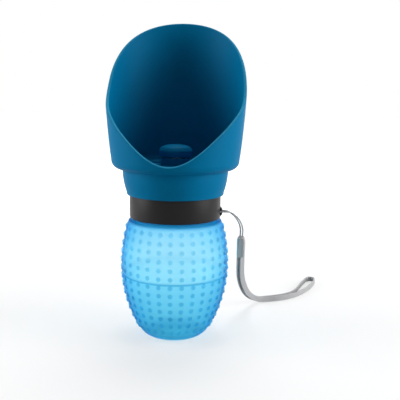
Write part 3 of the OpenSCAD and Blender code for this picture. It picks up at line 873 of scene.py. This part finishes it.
# %% Collar, pocket and bar
collar_foot, band_top, mouth = 95.2, 114.2, 130.8
collar_radius, spigot_radius, collar_bore = 35.5, 34.4, 32.2
mouth_bore, ledge_top, ledge_bore, ledge_foot = 31.9, 110.8, 30.1, 109.2
bead_space, bead_space_foot = 33.5, 105.8
collar_ring = turned("collar_ring", rounded_outline([
    (collar_bore, collar_foot, 0.3), (collar_radius, collar_foot, 0.7),
    (collar_radius, band_top, 0.6), (spigot_radius, band_top, 0.4), (spigot_radius, mouth, 0.6),
    (mouth_bore, mouth, 0.3), (mouth_bore, ledge_top), (ledge_bore, ledge_top),
    (ledge_bore, ledge_foot), (bead_space, ledge_foot), (bead_space, bead_space_foot),
    (collar_bore, bead_space_foot)]), columns=256)

pocket_middle, pocket_depth, pocket_half_width, pocket_half_height = 100.0, 1.9, 3.5, 2.3
pocket_floor = collar_radius - pocket_depth
cut_away(collar_ring, box_piece(
    "pocket", (pocket_floor, -pocket_half_width, pocket_middle - pocket_half_height),
    (pocket_floor + 10, pocket_half_width, pocket_middle + pocket_half_height), 0.5))
collar_ring.data.materials.append(black_gloss)
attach(collar_ring, "bottle")
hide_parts("collar")
report(collar_ring)

# %% The strap's bar
# Half of the bar's outline, as distance from the axis, distance from its middle, and rounding
bar_back, bar_hollow, bar_face = 34.9, 35.3, 37.0
bar_half = [(bar_hollow, 2.0, 0.3), (bar_back, 2.3, 0), (bar_back, 4.4, 0),
            (bar_face - 0.4, 2.7, 0.5), (bar_face, 2.0, 0.6)]
bar_points = ([(x, pocket_middle - z, r) for x, z, r in bar_half]
              + [(x, pocket_middle + z, r) for x, z, r in bar_half[::-1]])
bar_outline = rounded_outline([point if point[2] else point[:2] for point in bar_points])
from_middle = bar_outline - bar_outline.mean(0)
from_middle /= np.linalg.norm(from_middle, axis=1)[:, None]

# Each row across the bar's width, and how far its outline is drawn in for the rounded ends
bar_rows = []
for y, inset in ((-1.5, 0.25), (-1.35, 0.08), (-1.1, 0.0), (1.1, 0.0), (1.35, 0.08), (1.5, 0.25)):
    shrunk = bar_outline - from_middle * inset
    bar_rows.append([(x * MM, y * MM, z * MM) for x, z in shrunk])
strap_bar = rows_to_mesh("strap_bar", bar_rows, ring=False, caps=True)
strap_bar.data.materials.append(black_gloss)
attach(strap_bar, "bottle")
report(strap_bar)

# %% [markdown]
# ## The screw thread
#
# The cup screws onto the collar's spigot with a coarse rounded thread, one and a half turns at
# 4 mm a turn. A ridge along a helix is drawn by Geometry Nodes: a spiral curve, a small round
# section carried along it, and a radius that fades out at both ends, as on a moulded bottle
# neck. The collar's ridge stands outwards and the cup's stands inwards, half a turn apart, so
# they pass each other as the cup rises.

# %% Thread ridges
thread_pitch, ridge_radius = 4.0, 0.75


def thread_tree():
    tree, inputs, given = shape_tree("thread_ridge", {
        "Turns": "Float", "Radius": "Float", "Pitch": "Float", "Start Height": "Float",
        "Ridge": "Float"})
    helix = step(tree, "GeometryNodeCurveSpiral", {
        "Resolution": 96, "Rotations": given["Turns"], "Start Radius": given["Radius"],
        "End Radius": given["Radius"],
        "Height": maths(tree, "MULTIPLY", given["Turns"], given["Pitch"])})
    lift = step(tree, "ShaderNodeCombineXYZ", {"Z": given["Start Height"]})
    placed = step(tree, "GeometryNodeTransform",
                  {"Geometry": helix.outputs[0], "Translation": lift.outputs[0]})
    along = step(tree, "GeometryNodeSplineParameter").outputs["Factor"]
    swell = maths(tree, "MULTIPLY", fade(tree, along, 0.0, 0.06, 0.25, 1.0),
                  fade(tree, along, 1.0, 0.94, 0.25, 1.0))
    section = step(tree, "GeometryNodeCurvePrimitiveCircle",
                   {"Resolution": 12, "Radius": given["Ridge"]})
    swept = step(tree, "GeometryNodeCurveToMesh", {
        "Curve": placed.outputs[0], "Profile Curve": section.outputs[0], "Scale": swell,
        "Fill Caps": True})
    finish_tree(tree, swept.outputs[0], given["Material"])
    return tree, inputs


ridge_tree = thread_tree()


def thread_ridge(name, body, material, radius, start, turns):
    """A ridge along a helix, from its start height in mm, which rides on a body."""
    ridge = scene_object(name, bpy.data.meshes.new(name))
    run_tree(ridge, *ridge_tree, {
        "Turns": turns, "Radius": radius * MM, "Pitch": thread_pitch * MM,
        "Start Height": start * MM, "Ridge": ridge_radius * MM, "Material": material})
    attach(ridge, body)
    report(ridge)


ridge_offset = 0.05    # how far a ridge's own middle stands off its wall
thread_ridge("collar_thread", "bottle", black_gloss,
             radius=spigot_radius + ridge_offset, start=118, turns=2.5)
thread_ridge("cup_thread", "cup", cup_blue,
             radius=skirt_bore - ridge_offset, start=116, turns=1.5)

# %% [markdown]
# ## Cord: strands twisted together
#
# The cord is only 1.2 mm thick, but its twist is what says cord and not wire. The mesh starts as
# a bare line along the route. Geometry Nodes turns the line into a curve, lets its tilt grow
# with its length, and sweeps a four-lobed section along it, which twists into strands.

# %% Cord
def finish_yarn(name, color, shade, roughness=0.75):
    """Spun yarn: painted shade between the strands and in the weave, with a soft sheen."""
    material, tree, shader = finish(name, Roughness=roughness, Sheen_Weight=0.35,
                                    Sheen_Roughness=0.4)
    # The yarn mask paints shade between the strands and where the weave dips under
    yarn = attribute(tree, "yarn")
    fuzz = step(tree, "ShaderNodeTexNoise",
                {"Vector": object_place(tree), "Scale": 2600.0, "Detail": 2.0}).outputs["Fac"]
    mixed = blend_color(tree, maths(tree, "MULTIPLY_ADD", fuzz, 0.25, yarn), shade, color)
    tree.links.new(mixed, shader.inputs["Base Color"])
    bump = step(tree, "ShaderNodeBump", {"Height": fuzz, "Distance": 0.00004})
    tree.links.new(bump.outputs["Normal"], shader.inputs["Normal"])
    return material


cord_grey = finish_yarn("cord_grey", linear(192, 192, 193), linear(130, 130, 132))
webbing_grey = finish_yarn("webbing_grey", linear(192, 192, 193), linear(146, 146, 148))


def line_piece(name, path):
    """A piece that is only a line of points and edges along a path."""
    mesh = bpy.data.meshes.new(name)
    mesh.from_pydata([tuple(p) for p in path], [(i, i + 1) for i in range(len(path) - 1)], [])
    return scene_object(name, mesh)


def cord_tree():
    tree, inputs, given = shape_tree("twisted_cord", {
        "Diameter": "Float", "Strands": "Int", "Lay Length": "Float", "Strand Depth": "Float"})
    curve = step(tree, "GeometryNodeMeshToCurve", {0: given["Geometry"]})
    length = step(tree, "GeometryNodeSplineParameter").outputs["Length"]
    turns = maths(tree, "DIVIDE", length, given["Lay Length"])
    twist = maths(tree, "MULTIPLY", turns, 2 * math.pi)
    tilted = step(tree, "GeometryNodeSetCurveTilt", {"Curve": curve.outputs[0], "Tilt": twist})
    # The section: a circle drawn in between the strands
    circle = step(tree, "GeometryNodeCurvePrimitiveCircle", {"Resolution": 24, "Radius": 1.0})
    place = step(tree, "GeometryNodeInputPosition").outputs[0]
    x, y, z = step(tree, "ShaderNodeSeparateXYZ", {0: place}).outputs
    lobe_turn = maths(tree, "MULTIPLY", maths(tree, "ARCTAN2", y, x),
                      maths(tree, "MULTIPLY", given["Strands"], 0.5))
    lobe = maths(tree, "ABSOLUTE", maths(tree, "COSINE", lobe_turn))
    yarn = maths(tree, "POWER", lobe, 0.6)
    depth = maths(tree, "SUBTRACT", yarn, 1.0)
    share = maths(tree, "MULTIPLY_ADD", depth, given["Strand Depth"], 1.0)
    radius = maths(tree, "MULTIPLY", given["Diameter"], 0.5)
    sized = scaled(tree, place, maths(tree, "MULTIPLY", share, radius))
    # The lobe's height is kept as the yarn mask, which paints shade between the strands
    section = step(tree, "GeometryNodeSetPosition",
                   {"Geometry": marked(tree, circle.outputs[0], "yarn", yarn), "Position": sized})
    swept = step(tree, "GeometryNodeCurveToMesh", {
        "Curve": tilted.outputs[0], "Profile Curve": section.outputs[0], "Fill Caps": True})
    finish_tree(tree, swept.outputs[0], given["Material"])
    return tree, inputs


string_step = 0.0002
strap_string = line_piece("strap_string", smooth_path(cord_route, string_step))
run_tree(strap_string, *cord_tree(), {
    "Diameter": cord_diameter, "Strands": 4, "Lay Length": 0.005, "Strand Depth": 0.3,
    "Material": cord_grey})
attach(strap_string, "bottle")
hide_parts("strap_cord")
report(strap_string)

# %% [markdown]
# ## The sleeve
#
# The sleeve is one plastic moulding with a waist down each face and sloped shoulders, so it is
# drawn as a rounded section that changes a little along its length. It leans as it hangs, so
# its rows are placed along its own three directions.

# %% Sleeve
sleeve_centre = np.array((52.5, 17, 68)) * MM
sleeve_width, sleeve_depth = 7.0, 5.8
waist_share, waist_width = 0.14, 0.9
sleeve_lean = math.radians(27)
sleeve_up = np.array((0, -math.sin(sleeve_lean), math.cos(sleeve_lean)))
sleeve_out = np.array((0, math.cos(sleeve_lean), math.sin(sleeve_lean)))
sleeve_side = np.array((1.0, 0, 0))
section_turns = np.linspace(0, 2 * math.pi, 64, endpoint=False)
section_power = 0.62    # below 1, the section fills its corners


def sleeve_section(width, depth):
    """A superellipse whose two broad faces are drawn in at the middle."""
    cosine, sine = np.cos(section_turns), np.sin(section_turns)
    x = width / 2 * np.sign(cosine) * np.abs(cosine) ** section_power
    y = depth / 2 * np.sign(sine) * np.abs(sine) ** section_power
    y *= 1 - waist_share * np.exp(-(x / waist_width) ** 2)
    return x, y


# Height in mm from the sleeve's middle, and the share of its full section there
sleeve_profile = [(-10.0, 0.90), (-9.9, 0.95), (-9.6, 0.99), (-9.2, 1.0), (-4, 1.0), (2, 0.995),
                  (6.4, 0.985), (7.2, 0.97), (8.2, 0.90), (9.2, 0.80), (9.7, 0.74),
                  (9.95, 0.68), (10.0, 0.62)]
deeper = 0.04    # the ends narrow less from front to back
sleeve_rows = []
for up, share in sleeve_profile:
    x, y = sleeve_section(sleeve_width * share, sleeve_depth * min(1.0, share + deeper))
    flat = np.outer(x, sleeve_side) + np.outer(y, sleeve_out)
    sleeve_rows.append(sleeve_centre + (flat + sleeve_up * up) * MM)
strap_sleeve = rows_to_mesh("strap_sleeve", sleeve_rows, ring=False, caps=True)
strap_sleeve.data.materials.append(clip_grey)
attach(strap_sleeve, "bottle")
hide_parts("strap_clip")
report(strap_sleeve)

# %% [markdown]
# ## The webbing
#
# The webbing is a flat ribbon woven from heavy yarns. Its path already says which way the width
# lies at each point, so a flat section with round edges is carried along it, and turned a
# little where it leaves the sleeve. Its weave is too coarse to leave to a bump: a tree lifts
# the ribbon's points over and under, in a checker of warp and weft.

# %% Webbing
face_points, edge_points = 24, 4
webbing_edge, weave_room = 0.0004, 0.0001
half_width, half_thick = webbing_width / 2 - webbing_edge, webbing_thickness / 2 - weave_room
face = np.linspace(-1, 1, face_points) * half_width
edge_turn = np.linspace(math.pi / 2, -math.pi / 2, edge_points + 2)[1:-1]
edge_out = half_width + webbing_edge * np.cos(edge_turn)
edge_up = half_thick * np.sin(edge_turn)
flat_up = np.full(face_points, half_thick)
section_across = np.concatenate([face, edge_out, face[::-1], -edge_out])
section_up = np.concatenate([flat_up, edge_up, -flat_up, -edge_up])

ahead = directions(webbing_path[:, :3])
ahead[0], ahead[-1] = webbing_leaves, -webbing_leaves
across = webbing_path[:, 3:] / np.linalg.norm(webbing_path[:, 3:], axis=1)[:, None]
out = np.cross(across, ahead)
out /= np.linalg.norm(out, axis=1)[:, None]

# Both runs leave the sleeve turned a little, and lie flat on the floor further on
count = len(webbing_path)
from_sleeve = np.minimum(np.arange(count), np.arange(count)[::-1]) * webbing_step
turn_share = np.clip(1 - from_sleeve / webbing_turn_length, 0, 1)
turn = webbing_sleeve_turn * turn_share ** 2 * (3 - 2 * turn_share)
turn[count // 2:] *= -1
cosine, sine = np.cos(turn)[:, None], np.sin(turn)[:, None]
across, out = across * cosine + out * sine, out * cosine - across * sine
webbing_rows = [middle + np.outer(section_across, wide) + np.outer(section_up, thick)
                for middle, wide, thick in zip(webbing_path[:, :3], across, out)]
strap_webbing = rows_to_mesh("strap_webbing", webbing_rows, ring=False, caps=True)
store(strap_webbing, "along", np.repeat(np.arange(count) * webbing_step, len(section_up)))
store(strap_webbing, "across", np.tile(section_across, count))

# %% Weave on the webbing
def weave_tree():
    tree, inputs, given = shape_tree("woven_ribbon", {
        "Warp Width": "Float", "Weft Width": "Float", "Relief": "Float"})

    def wave(field, width):
        yarns = maths(tree, "DIVIDE", stored(tree, field), given[width])
        return maths(tree, "SINE", maths(tree, "MULTIPLY", yarns, math.pi))

    over = maths(tree, "MULTIPLY", wave("across", "Warp Width"), wave("along", "Weft Width"))
    rise = maths(tree, "MULTIPLY", over, given["Relief"])
    # The yarn mask paints shade where the weave dips under
    woven = marked(tree, raised(tree, given["Geometry"], rise), "yarn",
                   fade(tree, over, -0.6, 0.5))
    finish_tree(tree, woven, given["Material"])
    return tree, inputs


run_tree(strap_webbing, *weave_tree(), {
    "Warp Width": 0.0007, "Weft Width": 0.0009, "Relief": 0.00006, "Material": webbing_grey})
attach(strap_webbing, "bottle")
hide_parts("wrist_strap")
report(strap_webbing)

# %% [markdown]

# %% [markdown]
# ## Light
#
# A product table: a broad soft box on each side makes both flanks bright, one behind shines
# through the silicone, and a weak one above and behind picks out the knob while the inside of
# the scoop stays deep. The world looks white to the camera, and through the silicone too, but
# as a lamp it is dim, so the blues stay as they are written.

# %% Studio
def area_light(name, place, width, height, watts):
    """A soft box that looks at the middle of the bottle."""
    data = bpy.data.lights.new(name, "AREA")
    data.shape, data.size, data.size_y, data.energy = "RECTANGLE", width, height, watts
    light = scene_object(name, data)
    light.location = place
    light.rotation_euler = (bottle_middle - light.location).to_track_quat("-Z", "Y").to_euler()


bottle_middle = Vector((0, 0, 0.14))
area_light("left_box", (-1.14, -0.17, 0.30), 0.7, 1.0, 15.5)
area_light("right_box", (1.14, -0.17, 0.30), 0.7, 1.0, 17)
area_light("back_box", (0, 1.4, 0.5), 1.6, 1.4, 8)
area_light("top_box", (0.05, 0.38, 1.3), 0.6, 0.6, 7)

# %% World: white wherever the camera looks, straight or through something, and dim as a lamp
white_seen, sky_light = 1.0, 0.12


def seen_shares(tree):
    """1 for rays straight from the camera, and 1 for those through silicone or off a gloss."""
    rays = step(tree, "ShaderNodeLightPath").outputs
    behind = maths(tree, "MAXIMUM", rays["Is Transmission Ray"], rays["Is Glossy Ray"])
    return rays["Is Camera Ray"], behind


world = bpy.data.worlds.new("studio")
bpy.context.scene.world = world
world.use_nodes = True
sky_tree = world.node_tree
sky = sky_tree.nodes["Background"]
sky.inputs["Color"].default_value = (1, 1, 1, 1)
sky_seen = maths(sky_tree, "MAXIMUM", *seen_shares(sky_tree))
sky_strength = fade_linear(sky_tree, sky_seen, sky_light, white_seen)
sky_tree.links.new(sky_strength, sky.inputs["Strength"])

# %% [markdown]
# ## Floor
#
# The floor is one large pale square. Round the bottle it takes the lamps' light and a soft
# shadow, and a part of its brightness is its own, which grows with the distance until the floor
# meets the white behind it without a line.

# %% Floor
floor_half, floor_near, floor_white_at = 6.0, 0.12, 1.0
floor_light, floor_through = 0.52, 0.75
floor_corners = [(x * floor_half, y * floor_half, 0)
                 for x, y in ((-1, -1), (1, -1), (1, 1), (-1, 1))]
floor_mesh = bpy.data.meshes.new("floor")
floor_mesh.from_pydata(floor_corners, [], [(0, 1, 2, 3)])
floor = scene_object("floor", floor_mesh)
floor_white, floor_tree, floor_shader = finish(
    "floor_white", Roughness=0.8, Base_Color=(0.42, 0.42, 0.42, 1), Specular_IOR_Level=0.2,
    Emission_Color=(1, 1, 1, 1))
floor_reach = step(floor_tree, "ShaderNodeVectorMath", {0: object_place(floor_tree)},
                   operation="LENGTH").outputs["Value"]
floor_far = fade(floor_tree, floor_reach, floor_near, floor_white_at)
# The floor glows, and seen through the silicone it glows brighter near the bottle (floor_through),
# which lights the silicone from below
glows = [maths(floor_tree, "MULTIPLY", share, fade_linear(floor_tree, floor_far, near, white_seen))
         for share, near in zip(seen_shares(floor_tree), (floor_light, floor_through))]
floor_tree.links.new(maths(floor_tree, "ADD", *glows), floor_shader.inputs["Emission Strength"])
floor_mesh.materials.append(floor_white)

bpy.context.scene.view_settings.view_transform = "Standard"
